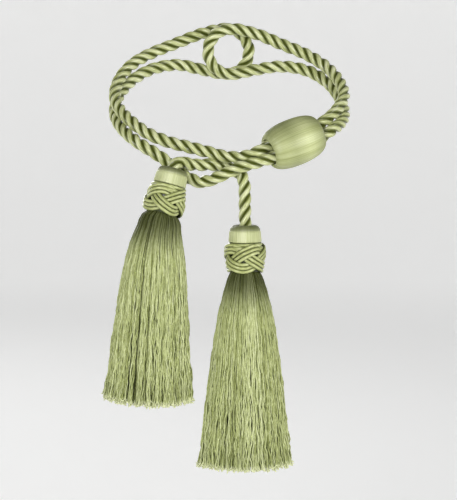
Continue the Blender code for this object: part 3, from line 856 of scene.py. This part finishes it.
def skirt_thread(name, shades):
    """Fine twisted thread: no two have quite one shade, with painted shade close under the knot.

    The shades are the deep, middle and light one of a thread, the painted shade inside the skirt,
    the painted highlight at the tips and the painted shade close under the knot.
    """
    deep, middle, light, inside, tip_highlight, shade_under_knot = shades
    nodes = Nodes(name)
    shade, down = nodes.number("shade"), nodes.number("down")
    # Its two plies, some 2 mm long, a slow change along the thread, and their shares in its tone
    ply = nodes.noise(nodes.place(
        nodes.maths("MULTIPLY", shade, 900.0), nodes.maths("MULTIPLY", down, 420.0),
    ), detail=2)
    slow = nodes.noise(nodes.place(
        nodes.maths("MULTIPLY", shade, 300.0), nodes.maths("MULTIPLY", down, 45.0), 5.0,
    ))
    tone = nodes.maths("ADD", nodes.maths("MULTIPLY", shade, 0.45),
                       nodes.maths("MULTIPLY_ADD", nodes.maths("SUBTRACT", ply, 0.5), 0.8,
                                   nodes.maths("MULTIPLY", slow, 0.55)))
    colour = nodes.ramp(tone, [(0.18, deep), (0.5, middle), (0.85, light)])
    # Painted shade on the threads inside the skirt
    colour = nodes.blend(nodes.number("inside"), colour, linear(inside))
    # Painted highlight on the tips
    colour = nodes.blend(nodes.maths("MULTIPLY", nodes.number("tip"), 0.9), colour, linear(tip_highlight))
    # Painted shade close under the knot, a little uneven from thread to thread
    knot_shade = nodes.add("MapRange", {
        "Value": down, "From Min": 4 * MM, "From Max": 34 * MM, "To Min": 1.0, "To Max": 0.0,
    }, interpolation_type="SMOOTHSTEP")
    uneven = nodes.maths("MULTIPLY_ADD", shade, -0.2, 1.0)
    colour = nodes.blend(
        nodes.maths("MULTIPLY", knot_shade.outputs[0], uneven), colour, linear(shade_under_knot))
    return nodes.finish(colour, ply, 0.4, {
        "Roughness": 0.38, "Specular IOR Level": 0.15, "Sheen Weight": 0.03,
        "Sheen Roughness": 0.4,
    })


# Deep, middle, light thread; painted shade inside; painted tip highlight; painted shade under knot
SKIRT_SHADES = (
    (156, 164, 98), (193, 201, 140), (222, 228, 177), (88, 96, 28), (240, 244, 200), (54, 60, 2),
)
skirt_material = skirt_thread("skirt_thread", SKIRT_SHADES)
for number, (side, head) in enumerate(heads.items()):
    outside = skirt_threads(TASSELS[side], head, *OUTSIDE, seed=21 + number)
    inside = skirt_threads(TASSELS[side], head, *INSIDE, seed=31 + number)
    skirt = make_piece(f"threads_{side}", skirt_material, *joined([outside, inside]))
    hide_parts(f"skirt_{side}")

# --- The studio ------------------------------------------------------------------------------
# A wide floor of pale paper that glows softly from beneath and curves up all round, far outside
# every camera. Two large soft lamps stand left and right of the camera, and a weak one behind.

FLOOR_HEIGHT = -0.42
FLOOR_RADIUS = 1.2                # of the disc in its middle
WALL_DISTANCE = 3.4
SWEEP_RADIUS = 0.8
SWEEP_STEPS = 16
SWEEP_SIDES = 96
WALL_TOP = 1.4
PAPER_SHADES = ((232, 232, 231), (236, 236, 235))
PAPER_GLOW = 0.37
LAMP_SPREAD = math.radians(75)    # the lamps have grids, so they leave the paper near them alone
LAMP_AIM = Vector((0, -0.09, -0.13))         # about the middle of the object
WORLD_LIGHT = 0.13


def make_sweep():
    """The floor's disc, its flat rest, the curve upwards and the wall."""
    profile = [(FLOOR_RADIUS, FLOOR_HEIGHT)]
    for i in range(SWEEP_STEPS + 1):
        angle = math.pi / 2 * i / SWEEP_STEPS
        profile.append((
            WALL_DISTANCE - SWEEP_RADIUS + SWEEP_RADIUS * math.sin(angle),
            FLOOR_HEIGHT + SWEEP_RADIUS * (1 - math.cos(angle)),
        ))
    profile.append((WALL_DISTANCE, WALL_TOP))
    turns = [math.tau * side / SWEEP_SIDES for side in range(SWEEP_SIDES)]
    points = [
        (radius * math.cos(turn), radius * math.sin(turn), height)
        for radius, height in profile for turn in turns
    ]
    inward = [0, 3, 2, 1]        # the order of a face's points that turns it inwards
    faces = np.array(tube_faces(len(profile), SWEEP_SIDES, closed_ends=False))[:, inward]
    mesh = bpy.data.meshes.new("sweep")
    mesh.from_pydata(points, [], [list(range(SWEEP_SIDES)), *faces.tolist()])
    mesh.shade_smooth()
    nodes = Nodes("pale_paper")
    grain = nodes.noise(nodes.add("NewGeometry").outputs["Position"], scale=40.0)
    nodes.feed(nodes.shader.inputs["Base Color"], nodes.ramp(
        grain, [(0.3, PAPER_SHADES[0]), (0.7, PAPER_SHADES[1])]))
    nodes.shader.inputs["Roughness"].default_value = 0.9
    nodes.shader.inputs["Emission Color"].default_value = (1, 1, 1, 1)
    nodes.shader.inputs["Emission Strength"].default_value = PAPER_GLOW
    mesh.materials.append(nodes.material)
    sweep = bpy.data.objects.new("sweep", mesh)
    bpy.context.scene.collection.objects.link(sweep)


def add_lamp(name, place, size, watts):
    """A round soft lamp that looks at the object."""
    lamp = bpy.data.lights.new(name, "AREA")
    lamp.shape = "DISK"
    lamp.size = size
    lamp.energy = watts
    lamp.spread = LAMP_SPREAD
    thing = bpy.data.objects.new(name, lamp)
    thing.location = place
    thing.rotation_euler = (LAMP_AIM - Vector(place)).to_track_quat("-Z", "Y").to_euler()
    bpy.context.scene.collection.objects.link(thing)


make_sweep()
add_lamp("left_lamp", (-0.75, -2.3, 0.45), size=0.8, watts=3.7)
add_lamp("right_lamp", (1.7, -1.6, 0.5), size=0.9, watts=3.4)
add_lamp("back_lamp", (-1.0, 2.3, 0.7), size=1.2, watts=4.0)

world = bpy.data.worlds.new("studio")
world.use_nodes = True
world.node_tree.nodes["Background"].inputs["Color"].default_value = (1, 1, 1, 1)
world.node_tree.nodes["Background"].inputs["Strength"].default_value = WORLD_LIGHT
bpy.context.scene.world = world
bpy.context.scene.view_settings.view_transform = "Standard"

VIEW_ELEVATION = math.radians(5)
VIEW_DISTANCE = 1.8
VIEW_TARGET = Vector((0.0, -0.096, -0.134))
camera = bpy.data.cameras.new("camera")
camera.lens = 190
camera.clip_end = 20
camera_object = bpy.data.objects.new("camera", camera)
away = Vector((0, -math.cos(VIEW_ELEVATION), math.sin(VIEW_ELEVATION)))
camera_object.location = VIEW_TARGET + away * VIEW_DISTANCE
camera_object.rotation_euler = (-away).to_track_quat("-Z", "Y").to_euler()
bpy.context.scene.collection.objects.link(camera_object)
bpy.context.scene.camera = camera_object
